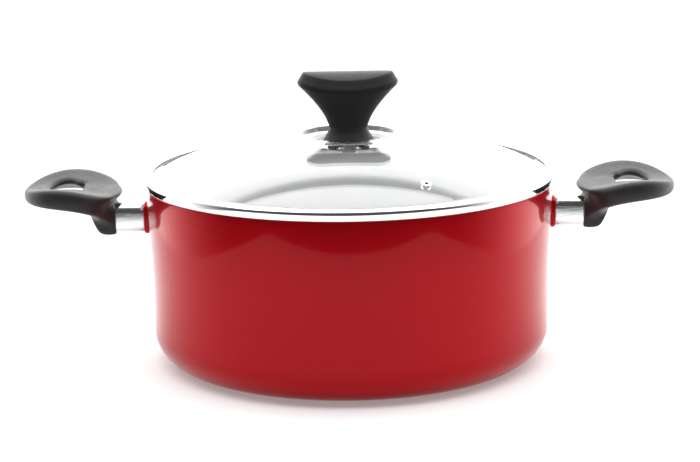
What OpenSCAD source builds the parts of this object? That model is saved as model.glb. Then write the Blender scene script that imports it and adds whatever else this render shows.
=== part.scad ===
// Two-handled aluminium casserole with a domed glass lid.
// The pot stands on the plane z = 0, its axis is the Z axis and its two handles lie along X.
// Sizes are in millimetres.

/* [Pot] */
// Inside diameter at the mouth
mouth_d = 240; // [200:1:290]
// Height from the base to the top of the lip
pot_h = 110; // [90:1:140]
// Thickness of the side wall
wall_t = 2.8; // [2.2:0.1:3.6]
// Thickness of the base
base_t = 4; // [3:0.5:6]
// Outside radius where the base turns up into the wall
corner_r = 21.4; // [14:0.2:27]
// How far the mouth opens out from the straight wall, on the radius
flare = 1.8; // [1.2:0.1:2.6]
// Thickness of the lip at the mouth
lip_t = 3.2; // [2.6:0.1:4]

/* [Lid] */
// Thickness of the glass
glass_t = 4; // [3:0.5:5]
// Height that the dome gains from its foot to the raised ring round the knob
dome_rise = 23; // [16:0.5:32]
// Radius of the raised ring round the knob
ring_r = 29.5; // [27:0.5:34]
// Depth of the dish inside the raised ring
dish_depth = 4.8; // [3:0.2:6]
// Thickness of the steel band's sheet
band_t = 0.7; // [0.5:0.1:0.9]
// How far the steel band stands out beyond the pot's lip
band_over = 1.8; // [1:0.1:3]
// Width of the steel band over the top of the glass
band_w = 5.5; // [4:0.5:7]
// Depth of the band's skirt inside the pot's mouth
skirt_h = 4.5; // [3.5:0.5:6]
// Gap between the skirt and the mouth, on the radius
skirt_gap = 1.2; // [0.6:0.1:1.6]
// Radius of the steam vent's hole through the glass
vent_r = 1.2; // [1:0.1:3]
// Distance of the steam vent from the lid's centre
vent_at = 97; // [60:1:99]
// Direction of the steam vent, seen from above
vent_angle = -63; // [-80:1:80]

/* [Knob] */
// Height of the knob above its collar
knob_h = 34.1; // [26:0.1:42]
// Length of the knob's head
knob_l = 61.2; // [48:0.2:74]
// Width of the knob's head
knob_w = 30; // [24:0.5:36]
// Length of the knob's neck
neck_l = 23.4; // [19:0.2:28]
// Width of the knob's neck
neck_w = 16; // [15:0.5:20]
// Height of the collar below the knob
collar_h = 7.9; // [5.5:0.1:9]
// Length of the collar's foot
collar_l = 31.2; // [27:0.2:37]
// Width of the collar's foot
collar_w = 24; // [20:0.5:28]

/* [Side handles] */
// Distance of the handles' studs below the pot's lip
stud_drop = 20.8; // [20:0.2:45]
// Length of the flame guards between pot and handle
guard_l = 17.2; // [14:0.2:22]
// Width of the flame guards
guard_w = 23; // [20:0.2:26]
// Height of the flame guards
guard_h = 18.2; // [16:0.2:19]
// How far the handle reaches out beyond the guard
reach = 55.4; // [47:0.2:66]
// Width of the handle across its wings
wing_w = 77; // [64:1:92]
// Width of the finger hole
hole_w = 35; // [28:1:38]
// Length of the finger hole, outwards
hole_l = 21; // [16:0.5:24]

/* [Screws] */
// Thread radius of the screws
screw_r = 2.5; // [2:0.1:2.6]
// Clearance round a screw in the handle and in the glass's seal
screw_gap = 0.3; // [0.2:0.05:0.4]

/* [Hidden] */
$fn = 96;

enamel_red = [0.72, 0.07, 0.08];
phenolic_grey = [0.2, 0.19, 0.2];
steel = [0.8, 0.81, 0.82];
clear_glass = [0.82, 0.88, 0.88, 0.45];
silicone_white = [0.9, 0.9, 0.88];
brass_yellow = [0.78, 0.62, 0.3];

// A gap that keeps curved faces of one body from overlapping
touch_gap = 0.05;

// Pot
mouth_r = mouth_d / 2;
wall_ri = mouth_r - flare;
wall_ro = wall_ri + wall_t;
lip_ro = mouth_r + lip_t;
lip_round = 1.1;
// The wall opens out to the mouth between these two heights, in one slow curve
flare_top = pot_h - 5;
flare_bottom = corner_r + 20;

// Lid band and glass edge, upwards from the pot's lip
cushion_t = 0.5;
band_ro = lip_ro + band_over;
band_h = 2 * band_t + 2 * cushion_t + glass_t;
band_top = pot_h + band_h;
band_round = 2.6;
// How far the band's side leans in towards its lower edge
band_lean = 0.6;
band_curl = 1;
skirt_ro = mouth_r - skirt_gap;
skirt_ri = skirt_ro - band_t;
edge_gap = 1.3;
edge_r = band_ro - band_t - edge_gap;
edge_round = 1.2;
edge_top = band_top - band_t - cushion_t;
foot_in = 2.5;
foot_r = band_ro - band_w - foot_in;
foot_round = 14;

// Dome of the glass: a ball of dome_r about the height dome_z
dome_side = (foot_r * foot_r - ring_r * ring_r - dome_rise * dome_rise) / (2 * dome_rise);
dome_r = sqrt(foot_r * foot_r + dome_side * dome_side);
dome_z = edge_top - dome_side;
ring_z = edge_top + dome_rise;
dish_z = ring_z - dish_depth;
dish_run = 7;
dish_r = ring_r - dish_run;

// Knob, upwards from the dish
seal_t = 0.5;
seal_r = 9;
collar_z = dish_z + seal_t;
neck_z = collar_z + collar_h;
head_h = 6.5;
head_z = neck_z + knob_h - head_h;
crown_drop = 3.6;
crown_l = knob_l - 6.8;
crown_w = knob_w - 6;
insert_r = 4.6;
insert_h = 17;
glass_hole_r = 5.5;
head_r = screw_r + 2;
head_t = 2.8;
washer_t = 1;
washer_r = 7.5;
slot_w = 1;

// Side handle, outwards from the guard's outer end at u = 0
stud_z = pot_h - stud_drop;
pad_over = 0.8;
pad_t = 3.6;
pad_depth = 6;
pad_w = guard_w + 2 * pad_over;
pad_h = guard_h + 2 * pad_over;
pad_x = wall_ro + pad_t;
pad_round = 6;
guard_round = 5.4;
guard_t = 0.8;
guard_x = pad_x + guard_l;
socket = 1.5;
socket_gap = 0.1;
pillar_r = 5.6;
hub_lap = 0.8;
hub_hw = guard_w / 2 + hub_lap;
hub_hh = guard_h / 2 + hub_lap;
// The loop's net of points is drawn from this height
loop_z = stud_z - 1.8;
hub_foot = stud_z - loop_z - hub_hh - 0.2;
// The hub's end is cut flat up to here, just above the guard
hub_end_z = stud_z + hub_hh + 0.6;
bore_floor = 6;
bore_r = head_r + 0.6;
spring_t = 1.2;
screw_depth = 16;

function arc(c, r, from, to, n) =
    [for (i = [0 : n]) let (a = from + (to - from) * i / n) [c[0] + r * cos(a), c[1] + r * sin(a)]];
function lerp(a, b, t) = a + (b - a) * t;
// A stretch that leaves p and reaches q upright or level, along or across
function ease_r(p, q, n) =
    [for (i = [0 : n]) let (t = i / n) [lerp(p[0], q[0], (1 - cos(180 * t)) / 2), lerp(p[1], q[1], t)]];
function ease_z(p, q, n) =
    [for (i = [0 : n]) let (t = i / n) [lerp(p[0], q[0], t), lerp(p[1], q[1], (1 - cos(180 * t)) / 2)]];

module rounded_rect(w, h, r) {
    square([w - 2 * r, h], center = true);
    square([w, h - 2 * r], center = true);
    for (x = [-1, 1], y = [-1, 1])
        translate([x * (w / 2 - r), y * (h / 2 - r)]) circle(r = r, $fn = 32);
}

// Shapes drawn in the plane across a handle's axis and pushed outwards from x by length
module along_x(x, length) {
    translate([x, 0, stud_z]) rotate([90, 0, 90]) linear_extrude(length) children();
}

// A cylinder on the handle's axis
module rod_x(x, length, r) {
    translate([x, 0, stud_z]) rotate([0, 90, 0]) cylinder(h = length, r = r);
}

module on_side(side) {
    if (side > 0) children();
    else mirror([1, 0, 0]) children();
}

// ---- Pot ----

// Outside of the pot from the middle of the base up to the lip, which the pads are cut to fit
pot_outside = concat(
    [[0, 0]],
    arc([wall_ro - corner_r, corner_r], corner_r, -90, 0, 16),
    ease_r([wall_ro, flare_bottom], [lip_ro, flare_top], 10),
    arc([lip_ro - lip_round, pot_h - lip_round], lip_round, 0, 90, 5)
);

module pot_body() {
    inner_r = corner_r - wall_t;
    inside = concat(
        arc([mouth_r + lip_round, pot_h - lip_round], lip_round, 90, 180, 5),
        ease_r([mouth_r, flare_top], [wall_ri, flare_bottom], 10),
        arc([wall_ri - inner_r, base_t + inner_r], inner_r, 0, -90, 16),
        [[0, base_t]]
    );
    color(enamel_red) rotate_extrude() polygon(concat(pot_outside, inside));
}

// ---- Handle brackets, guards and fixings ----

// Painted pad that sits on the pot's wall, with the tapped pillar that carries the handle
module bracket(side) {
    color(enamel_red) on_side(side) difference() {
        union() {
            along_x(wall_ro - pad_depth, pad_t + pad_depth) rounded_rect(pad_w, pad_h, pad_round);
            rod_x(wall_ro, guard_x + socket - wall_ro, pillar_r);
        }
        rotate_extrude() polygon(concat(pot_outside, [[0, pot_h]]));
        rod_x(guard_x + socket - screw_depth, screw_depth + 1, screw_r + touch_gap);
    }
}

module guard(side) {
    color(steel) on_side(side) along_x(pad_x, guard_l + socket) difference() {
        rounded_rect(guard_w, guard_h, guard_round);
        rounded_rect(guard_w - 2 * guard_t, guard_h - 2 * guard_t, guard_round - guard_t);
    }
}

module washer(side) {
    color(steel) on_side(side) difference() {
        rod_x(guard_x + bore_floor, washer_t, head_r + 0.3);
        rod_x(guard_x + bore_floor - 1, washer_t + 2, screw_r + 0.2);
    }
}

module spring_washer(side) {
    color(steel) on_side(side) difference() {
        rod_x(guard_x + bore_floor + washer_t, spring_t, head_r);
        rod_x(guard_x + bore_floor, spring_t + 2, screw_r + 0.2);
        translate([guard_x + bore_floor, screw_r - 1, stud_z - slot_w / 2]) cube([spring_t + 2, 5, slot_w]);
    }
}

module screw(side) {
    head_x = guard_x + bore_floor + washer_t + spring_t;
    color(steel) on_side(side) difference() {
        union() {
            rod_x(head_x, head_t, head_r);
            rod_x(guard_x + socket - screw_depth + 2, head_x - guard_x - socket + screw_depth - 1, screw_r);
        }
        for (turn = [0, 90])
            translate([head_x + head_t - 1.4, 0, stud_z]) rotate([turn, 0, 0])
                translate([0, -head_r * 0.62, -slot_w / 2]) cube([3, head_r * 1.24, slot_w]);
    }
}

// ---- Handle ----

// The handle is a smooth skin over a net of points. A row of the net is one section of the handle,
// and the rows go round the finger hole. Points are [outwards, sideways, up] from the guard's end.
outline_u = 0.38 * reach;
outline_a = reach - outline_u + 0.9;
outline_b = wing_w / 2 + 1;
hole_u = 0.552 * reach;
hole_in = hole_u - hole_l / 2;

function outline(a) = [outline_u + outline_a * cos(a), outline_b * sin(a)];
function hole(a) = [hole_u + (hole_l / 2 - 0.4) * cos(a), (hole_w / 2 - 0.5) * sin(a)];

// A section of the rail from the hole at angle b to the outline at angle a
function rail(a, b, crest, low, rim_top, rim_low) =
    let (o = outline(a), i = hole(b))
    let (s = [
        [0.08, rim_top + 0.4], [0.36, lerp(rim_top, crest, 0.4)], [0.7, crest], [0.92, crest + 0.1],
        [1.01, lerp(crest, low, 0.2)], [1.03, lerp(crest, low, 0.48)], [1.01, lerp(crest, low, 0.74)],
        [0.95, low], [0.79, low - 0.3], [0.6, lerp(low, rim_low, 0.25)], [0.35, lerp(low, rim_low, 0.7)],
        [0.1, rim_low], [-0.05, rim_low + 0.8], [-0.05, rim_top - 1]
    ])
    [for (p = s) [lerp(i[0], o[0], p[0]), lerp(i[1], o[1], p[0]), p[1]]];

// The hub's section at the distance v from the middle, with its underside at foot
function hub(v, hole_v, foot, beak) = [
    [hole_in - 1, hole_v, 20.4], [hole_in * 0.5, (hole_v + v) / 2, 18.8], [0.6, v, 18.2],
    [-4.2 + beak, v, 17.4], [-3 + beak, v, 14.8], [2.2, v, 11.6], [-2.5, v, 5.5], [-4, v, foot],
    [hole_in * 0.38, v, foot], [hole_in * 0.53, v, foot + 1.6], [hole_in * 0.71, v, 1.4],
    [hole_in * 0.83, v * 0.9, 12], [hole_in - 0.4, hole_v, 17], [hole_in, hole_v, 19.2]
];

half_net = [
    rail(0, 0, 19.6, 13.2, 20.2, 15.6),
    rail(24, 34, 20.8, 13.2, 20.8, 16.2),
    rail(46, 62, 23.4, 13.2, 21.8, 17.6),
    rail(68, 88, 25, 13.2, 22.2, 18),
    rail(90, 112, 24.4, 12.2, 22, 17.6),
    rail(110, 134, 21.6, 9, 21.4, 17),
    [
        [hole_in, hub_hw, 21], [hole_in * 0.6, hub_hw + 4.7, 19.4], [5, wing_w * 0.338, 19.6],
        [2.2, wing_w * 0.377, 18.8], [2.8, wing_w * 0.364, 15.8], [4.4, wing_w * 0.32, 12],
        [5.4, wing_w * 0.26, 7], [6, hub_hw + 4.1, 2.2], [hole_in * 0.45, hub_hw + 2.7, 1.4],
        [hole_in * 0.57, hub_hw + 2.7, 2.4], [hole_in * 0.71, hub_hw + 3.1, 4.6],
        [hole_in * 0.87, hub_hw + 2.2, 12], [hole_in + 0.8, hub_hw - 0.9, 17], [hole_in + 1, hub_hw - 0.7, 19.6]
    ],
    [
        [hole_in - 0.6, 8.6, 20.6], [hole_in * 0.55, hub_hw + 0.7, 18.8], [2.6, hub_hw + 4.7, 18.6],
        [-0.8, hub_hw + 4.7, 17.6], [0, hub_hw + 4.3, 14.8], [3.6, hub_hw + 2.7, 11.2],
        [-1.5, hub_hw + 0.3, 5], [-4, hub_hw + 0.3, -4.2], [hole_in * 0.38, hub_hw + 0.4, -2],
        [hole_in * 0.55, hub_hw + 0.4, -0.6], [hole_in * 0.71, hub_hw + 0.5, 2.2],
        [hole_in * 0.85, hub_hw - 0.9, 12], [hole_in, 8.6, 17], [hole_in + 0.4, 8.4, 19.2]
    ],
    hub(hub_hw + 0.1, 6.4, hub_foot, 2),
    hub(hub_hw * 0.6, 4, hub_foot, 0.5),
    hub(0, 0, hub_foot, 0)
];

function across(row) = [for (p = row) [p[0], -p[1], p[2]]];
last_row = len(half_net) - 1;
net = concat(half_net, [for (i = [last_row - 1 : -1 : 1]) across(half_net[i])]);

function wrap(v, i) = v[(i + len(v)) % len(v)];
// Smooth closed curve through the neighbourhood of the points, with n steps to each
function smooth(v, n) = [
    for (i = [0 : len(v) - 1], s = [0 : n - 1])
        let (t = s / n)
        (pow(1 - t, 3) * wrap(v, i - 1) + (3 * pow(t, 3) - 6 * t * t + 4) * v[i]
        + (3 * t * t - 3 * pow(t, 3) + 3 * t + 1) * wrap(v, i + 1) + pow(t, 3) * wrap(v, i + 2)) / 6
];
function turned(m) = [for (j = [0 : len(m[0]) - 1]) [for (row = m) row[j]]];

module handle_skin() {
    grid = turned(smooth(turned(smooth(net, 2)), 2));
    rows = len(grid);
    columns = len(grid[0]);
    points = [for (row = grid) each row];
    faces = [
        for (i = [0 : rows - 1], j = [0 : columns - 1])
            let (k = (i + 1) % rows, l = (j + 1) % columns)
            let (a = i * columns + j, b = i * columns + l, c = k * columns + l, d = k * columns + j)
            each [[a, c, b], [a, d, c]]
    ];
    polyhedron(points = points, faces = faces);
}

module handle(side) {
    color(phenolic_grey) on_side(side) difference() {
        translate([guard_x, 0, loop_z]) handle_skin();
        translate([guard_x - 20, -hub_hw - 10, 0]) cube([20, 2 * hub_hw + 20, hub_end_z]);
        along_x(guard_x - 1, socket + 1)
            rounded_rect(guard_w + 2 * socket_gap, guard_h + 2 * socket_gap, guard_round + socket_gap);
        rod_x(guard_x, bore_floor + 1, screw_r + screw_gap);
        rod_x(guard_x + bore_floor, 14, bore_r);
    }
}

// ---- Lid ----

module lid_glass() {
    blend = foot_round + dome_r;
    blend_r = sqrt(blend * blend - pow(edge_top + foot_round - dome_z, 2));
    blend_c = [blend_r, edge_top + foot_round];
    blend_to = atan2(dome_z - blend_c[1], -blend_r) + 360;
    dome_from = atan2(blend_c[1] - dome_z, blend_r);
    dome_to = acos(ring_r / dome_r);
    function top(t) = concat(
        arc(blend_c, foot_round + t, 270, blend_to, 6),
        arc([0, dome_z], dome_r - t, dome_from, dome_to, 26),
        ease_z([ring_r - 0.4, ring_z - t], [dish_r, dish_z - t], 12)
    );
    upper = top(0);
    lower = top(glass_t);
    color(clear_glass) difference() {
        rotate_extrude() polygon(concat(
            [[glass_hole_r, dish_z - glass_t]],
            [for (i = [len(lower) - 1 : -1 : 0]) lower[i]],
            arc([edge_r - edge_round, edge_top - glass_t + edge_round], edge_round, -90, 0, 4),
            arc([edge_r - edge_round, edge_top - edge_round], edge_round, 0, 90, 4),
            upper,
            [[glass_hole_r, dish_z]]
        ));
        vent_place() cylinder(h = 40, r = vent_r + 1, center = true);
    }
}

// The vent stands square to the dome where it passes through
vent_tilt = asin(vent_at / dome_r);
module vent_place() {
    rotate([0, 0, vent_angle]) translate([0, 0, dome_z]) rotate([0, vent_tilt, 0])
        translate([0, 0, dome_r]) children();
}

module vent_eyelet() {
    tube_r = vent_r + 0.8;
    flange_r = tube_r + 1.1;
    color(steel) vent_place() rotate_extrude() polygon(concat(
        [[vent_r, -glass_t - 1.1], [flange_r - 0.7, -glass_t - 1.1], [flange_r - 0.3, -glass_t - 0.4]],
        [[tube_r, -glass_t - 0.2], [tube_r, 0.2]],
        arc([flange_r - 0.4, 0.6], 0.4, -90, 90, 6),
        arc([tube_r, 0.2], 0.8, 90, 180, 4)
    ));
}

module lid_band() {
    r1 = band_ro - band_w;
    inner_round = band_round - band_t;
    outside = concat(
        [[r1 + 0.3, band_top]],
        arc([band_ro - band_round, band_top - band_round], band_round, 90, 0, 8),
        arc([band_ro - band_lean - band_curl, pot_h + band_curl], band_curl, 0, -90, 4),
        [[skirt_ro, pot_h], [skirt_ro, pot_h - skirt_h], [skirt_ri, pot_h - skirt_h]]
    );
    inside = concat(
        [[skirt_ri, pot_h + band_t]],
        arc([band_ro - band_lean - band_curl, pot_h + band_curl], band_curl - band_t, -90, 0, 2),
        arc([band_ro - band_round, band_top - band_round], inner_round, 0, 90, 8),
        [[r1 + 0.3, band_top - band_t], [r1, band_top - band_t / 2]]
    );
    color(steel) rotate_extrude() polygon(concat(outside, inside));
}

// Silicone strip that fills the band round the glass's edge
module band_cushion() {
    g = touch_gap;
    inner_round = band_round - band_t;
    color(silicone_white) rotate_extrude() difference() {
        polygon(concat(
            [[skirt_ri + 0.4, pot_h + band_t + g]],
            arc([band_ro - band_lean - band_t - g - 0.4, pot_h + band_t + g + 0.4], 0.4, -90, 0, 2),
            arc([band_ro - band_round, band_top - band_round], inner_round - g, 0, 90, 8),
            [[band_ro - band_w + 0.5, band_top - band_t - g]]
        ));
        translate([0, edge_top - glass_t - g]) square([edge_r + g, glass_t + 2 * g]);
    }
}

// ---- Knob and its fixings ----

// A closed skin over rings, each [half length, half width, height, drop at the front and back]
module ring_skin(rings) {
    n = 48;
    points = [
        for (g = rings, i = [0 : n - 1])
            let (a = 360 * i / n)
            [g[0] * cos(a), g[1] * sin(a), g[2] - g[3] * pow(sin(a), 2)]
    ];
    top = len(rings) - 1;
    sides = [
        for (k = [0 : top - 1], i = [0 : n - 1])
            let (j = (i + 1) % n)
            each [[k * n + i, (k + 1) * n + i, (k + 1) * n + j], [k * n + i, (k + 1) * n + j, k * n + j]]
    ];
    bottom = [[for (i = [0 : n - 1]) i]];
    tip = len(points);
    cap = [for (i = [0 : n - 1]) [top * n + i, tip, top * n + (i + 1) % n]];
    polyhedron(points = concat(points, [[0, 0, rings[top][2]]]), faces = concat(sides, bottom, cap));
}

module knob() {
    hl = [neck_l / 2, knob_l / 2, crown_l / 2];
    hw = [neck_w / 2, knob_w / 2, crown_w / 2];
    waist = [
        for (i = [0 : 9])
            let (t = i / 10, s = pow(t, 1.5) * 1.06)
            [lerp(hl[0], hl[1], s), lerp(hw[0], hw[1], s), lerp(neck_z, head_z, t), crown_drop * 1.1 * t * t]
    ];
    edge = [
        [hl[1] - 0.5, hw[1] - 0.5, head_z - 0.9, crown_drop * 1.1],
        [hl[1], hw[1], head_z + 0.2, crown_drop * 1.1],
        [hl[1] - 0.3, hw[1] - 0.3, head_z + 1.2, crown_drop * 1.1],
        [hl[2] + 0.4, hw[2] + 0.5, head_z + head_h - 1, crown_drop],
        [hl[2] - 0.5, hw[2] - 0.3, head_z + head_h - 0.2, crown_drop * 0.95]
    ];
    crown = [
        for (f = [0.85, 0.65, 0.45, 0.25])
            [hl[2] * f, hw[2] * f, head_z + head_h, crown_drop * f * f]
    ];
    color(phenolic_grey) difference() {
        ring_skin(concat(waist, edge, crown));
        translate([0, 0, neck_z - 1]) cylinder(h = insert_h - collar_h + 1.2, r = insert_r + touch_gap);
    }
}

module knob_collar() {
    rings = [
        for (i = [0 : 5])
            let (t = i / 5, s = pow(1 - t, 1.3))
            [lerp(neck_l, collar_l, s) / 2, lerp(neck_w, collar_w, s) / 2, lerp(collar_z, neck_z, t), 0]
    ];
    color(phenolic_grey) difference() {
        ring_skin(rings);
        translate([0, 0, collar_z - 1]) cylinder(h = collar_h + 2, r = insert_r + touch_gap);
    }
}

module knob_insert() {
    color(brass_yellow) translate([0, 0, collar_z]) difference() {
        cylinder(h = insert_h, r = insert_r);
        translate([0, 0, -1]) cylinder(h = insert_h - 1.5, r = screw_r + touch_gap);
    }
}

module upper_seal() {
    color(silicone_white) translate([0, 0, dish_z]) difference() {
        cylinder(h = seal_t, r = seal_r);
        translate([0, 0, -1]) cylinder(h = 3, r = screw_r + screw_gap);
    }
}

// Flanged sleeve that keeps the screw off the glass, below the hole and inside it
module lower_seal() {
    color(silicone_white) translate([0, 0, dish_z - glass_t - 1]) difference() {
        union() {
            cylinder(h = 1, r = seal_r);
            cylinder(h = glass_t + 0.8, r = glass_hole_r - 0.2);
        }
        translate([0, 0, -1]) cylinder(h = glass_t + 3, r = screw_r + screw_gap);
    }
}

module knob_washer() {
    color(steel) translate([0, 0, dish_z - glass_t - 1 - washer_t]) difference() {
        cylinder(h = washer_t, r = washer_r);
        translate([0, 0, -1]) cylinder(h = washer_t + 2, r = screw_r + 0.2);
    }
}

module knob_screw() {
    under = dish_z - glass_t - 1 - washer_t;
    color(steel) difference() {
        union() {
            translate([0, 0, under - head_t]) cylinder(h = head_t, r = head_r);
            translate([0, 0, under - 1]) cylinder(h = collar_z - under + 12, r = screw_r);
        }
        for (turn = [0, 90])
            rotate([0, 0, turn]) translate([-head_r * 0.62, -slot_w / 2, under - head_t - 1])
                cube([head_r * 1.24, slot_w, 2.4]);
    }
}

pot_body();
bracket(-1);  // left_bracket
guard(-1);  // left_guard
handle(-1);  // left_handle
washer(-1);  // left_washer
spring_washer(-1);  // left_spring_washer
screw(-1);  // left_screw
bracket(1);  // right_bracket
guard(1);  // right_guard
handle(1);  // right_handle
washer(1);  // right_washer
spring_washer(1);  // right_spring_washer
screw(1);  // right_screw
lid_glass();
lid_band();
band_cushion();
vent_eyelet();
knob();
knob_collar();
knob_insert();
upper_seal();
lower_seal();
knob_washer();
knob_screw();
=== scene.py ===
import bpy
import bmesh
from math import acos, asin, atan2, cos, pi, radians, sin, sqrt
from mathutils import Matrix, Vector


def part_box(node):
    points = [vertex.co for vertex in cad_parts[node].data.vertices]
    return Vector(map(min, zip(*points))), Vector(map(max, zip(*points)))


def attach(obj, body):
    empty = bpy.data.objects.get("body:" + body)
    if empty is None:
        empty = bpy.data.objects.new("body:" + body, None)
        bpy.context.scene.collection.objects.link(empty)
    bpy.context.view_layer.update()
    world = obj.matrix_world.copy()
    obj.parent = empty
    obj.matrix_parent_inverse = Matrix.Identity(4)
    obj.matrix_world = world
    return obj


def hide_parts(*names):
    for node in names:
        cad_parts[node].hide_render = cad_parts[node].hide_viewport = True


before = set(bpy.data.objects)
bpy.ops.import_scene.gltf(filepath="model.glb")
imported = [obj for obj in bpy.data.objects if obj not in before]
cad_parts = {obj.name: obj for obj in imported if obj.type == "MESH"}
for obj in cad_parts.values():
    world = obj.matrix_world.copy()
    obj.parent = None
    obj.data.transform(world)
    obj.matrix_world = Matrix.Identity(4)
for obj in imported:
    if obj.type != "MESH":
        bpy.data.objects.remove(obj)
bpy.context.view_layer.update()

# ---- Camera ----
# A long lens a little above the lid, looking straight at the front of the pot.
camera_place = Vector((0, -1.3874, 0.3874))
camera_down = radians(12.601)
camera_roll = radians(-0.905)
camera = bpy.data.objects.new("camera", bpy.data.cameras.new("camera"))
camera.data.lens = 119.57
camera.data.sensor_width = 36
camera.data.clip_end = 50
camera.matrix_world = (
    Matrix.Translation(camera_place)
    @ Matrix.Rotation(pi / 2 - camera_down, 4, "X")
    @ Matrix.Rotation(camera_roll, 4, "Z")
)
bpy.context.scene.collection.objects.link(camera)
bpy.context.scene.camera = camera


# ---- Pot ----
# A pot drawn from one disc of aluminium: sprayed red and stoved outside, with a pale
# non-stick lining inside, and its base turned bare on a lathe. The mouth opens out a little.
MM = 0.001
mouth_r = 120
wall_t = 2.8
base_t = 4
corner_r = 21.4
flare = 1.8
lip_round = 1.1
lip_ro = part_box("pot_body")[1].x / MM
pot_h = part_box("pot_body")[1].z / MM
wall_ri = mouth_r - flare
wall_ro = wall_ri + wall_t
flare_top = pot_h - 5
flare_bottom = corner_r + 20
inner_flat_r = 60


def arc(center, radius, start, end, steps):
    angles = [radians(start + (end - start) * i / steps) for i in range(steps + 1)]
    return [(center[0] + radius * cos(a), center[1] + radius * sin(a)) for a in angles]


def lerp(a, b, t):
    return a + (b - a) * t


def upright_ease(p, q, steps):
    """A stretch that leaves p and reaches q upright."""
    return [
        (lerp(p[0], q[0], (1 - cos(pi * i / steps)) / 2), lerp(p[1], q[1], i / steps))
        for i in range(steps + 1)
    ]


def level_ease(p, q, steps):
    """A stretch that leaves p and reaches q level."""
    return [
        (lerp(p[0], q[0], i / steps), lerp(p[1], q[1], (1 - cos(pi * i / steps)) / 2))
        for i in range(steps + 1)
    ]


def add_piece(name, points, faces, materials, face_skins=None, sharp=40):
    """A mesh from points in millimetres, smooth except where it turns by more than sharp degrees."""
    mesh = bpy.data.meshes.new(name)
    mesh.from_pydata([Vector(p) * MM for p in points], [], faces)
    for material in materials:
        mesh.materials.append(material)
    for face in mesh.polygons:
        face.material_index = face_skins[face.index] if face_skins else 0
    shape = bmesh.new()
    shape.from_mesh(mesh)
    bmesh.ops.recalc_face_normals(shape, faces=shape.faces)
    shape.to_mesh(mesh)
    shape.free()
    mesh.shade_smooth()
    mesh.set_sharp_from_angle(angle=radians(sharp))
    piece = bpy.data.objects.new(name, mesh)
    bpy.context.scene.collection.objects.link(piece)
    return piece


def turned(name, outline, steps, materials, skins=None, place=Matrix(), closed=False, sharp=40):
    """Turns an outline of (radius, height) about the Z axis. A radius of 0 is a point on the axis."""
    points, rings, faces, face_skins = [], [], [], []
    for radius, height in outline:
        count = steps if radius > 0 else 1
        rings.append((len(points), count))
        for i in range(count):
            a = 2 * pi * i / steps
            points.append(place @ Vector((radius * cos(a), radius * sin(a), height)))
    spans = len(rings) if closed else len(rings) - 1
    for k in range(spans):
        (a, count_a), (b, count_b) = rings[k], rings[(k + 1) % len(rings)]
        for i in range(steps):
            j = (i + 1) % steps
            corners = [a + i % count_a, a + j % count_a, b + j % count_b, b + i % count_b]
            faces.append(list(dict.fromkeys(corners)))
            face_skins.append(skins[k] if skins else 0)
    return add_piece(name, points, faces, materials, face_skins, sharp)


def new_material(name, **settings):
    """A material with its shader's plain settings, such as Roughness or Base_Color."""
    material = bpy.data.materials.new(name)
    material.use_nodes = True
    shader = material.node_tree.nodes["Principled BSDF"]
    for socket, value in settings.items():
        shader.inputs[socket.replace("_", " ")].default_value = value
    return material


def add_node(tree, kind, inputs=None, **settings):
    """A node with its properties, and its inputs by name or number: a value, or a socket to link."""
    node = tree.nodes.new(kind)
    for key, value in settings.items():
        setattr(node, key, value)
    for key, value in (inputs or {}).items():
        if isinstance(value, bpy.types.NodeSocket):
            tree.links.new(value, node.inputs[key])
        else:
            node.inputs[key].default_value = value
    return node


def new_group(name, inputs, outputs):
    """A node group with inputs {name: default} and outputs {name: kind}."""
    group = bpy.data.node_groups.new(name, "ShaderNodeTree")
    for key, value in inputs.items():
        kind = "NodeSocketColor" if isinstance(value, tuple) else "NodeSocketFloat"
        socket = group.interface.new_socket(key, in_out="INPUT", socket_type=kind)
        socket.default_value = value
    for key, kind in outputs.items():
        group.interface.new_socket(key, in_out="OUTPUT", socket_type=kind)
    start = group.nodes.new("NodeGroupInput")
    end = group.nodes.new("NodeGroupOutput")
    return group, start, end


def put_group(material, group, **inputs):
    tree = material.node_tree
    node = tree.nodes.new("ShaderNodeGroup")
    node.node_tree = group
    for key, value in inputs.items():
        node.inputs[key.replace("_", " ")].default_value = value
    return node


def join_shader(material, node, **pairs):
    """Links outputs of a node to the shader, as in Roughness="Value"."""
    shader = material.node_tree.nodes["Principled BSDF"]
    for socket, output in pairs.items():
        material.node_tree.links.new(node.outputs[output], shader.inputs[socket.replace("_", " ")])


def join_bump(material, node, output, strength, distance):
    """Raises the surface by an output of a node. The distance is in metres."""
    tree = material.node_tree
    bump = add_node(
        tree, "ShaderNodeBump",
        {"Strength": strength, "Distance": distance, "Height": node.outputs[output]},
    )
    tree.links.new(bump.outputs["Normal"], tree.nodes["Principled BSDF"].inputs["Normal"])


# Two tones of one colour in soft clouds, with a haze in the gloss: paint, plastic and metal
# that was sprayed, moulded or handled is never quite even.
clouds, start, end = new_group(
    "Soft clouds",
    {"Scale": 30.0, "Color A": (0.5, 0.5, 0.5, 1.0), "Color B": (0.6, 0.6, 0.6, 1.0),
     "Gloss low": 0.2, "Gloss high": 0.3},
    {"Color": "NodeSocketColor", "Gloss": "NodeSocketFloat"},
)
place = add_node(clouds, "ShaderNodeTexCoord")
tone = add_node(
    clouds, "ShaderNodeTexNoise",
    {"Vector": place.outputs["Object"], "Scale": start.outputs["Scale"], "Detail": 3.0},
)
mix = add_node(
    clouds, "ShaderNodeMix",
    {0: tone.outputs[0], 6: start.outputs["Color A"], 7: start.outputs["Color B"]},
    data_type="RGBA",
)
haze_scale = add_node(
    clouds, "ShaderNodeMath", {0: start.outputs["Scale"], 1: 2.3}, operation="MULTIPLY"
)
haze = add_node(
    clouds, "ShaderNodeTexNoise",
    {"Vector": place.outputs["Object"], "Scale": haze_scale.outputs[0], "Detail": 5.0},
)
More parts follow.
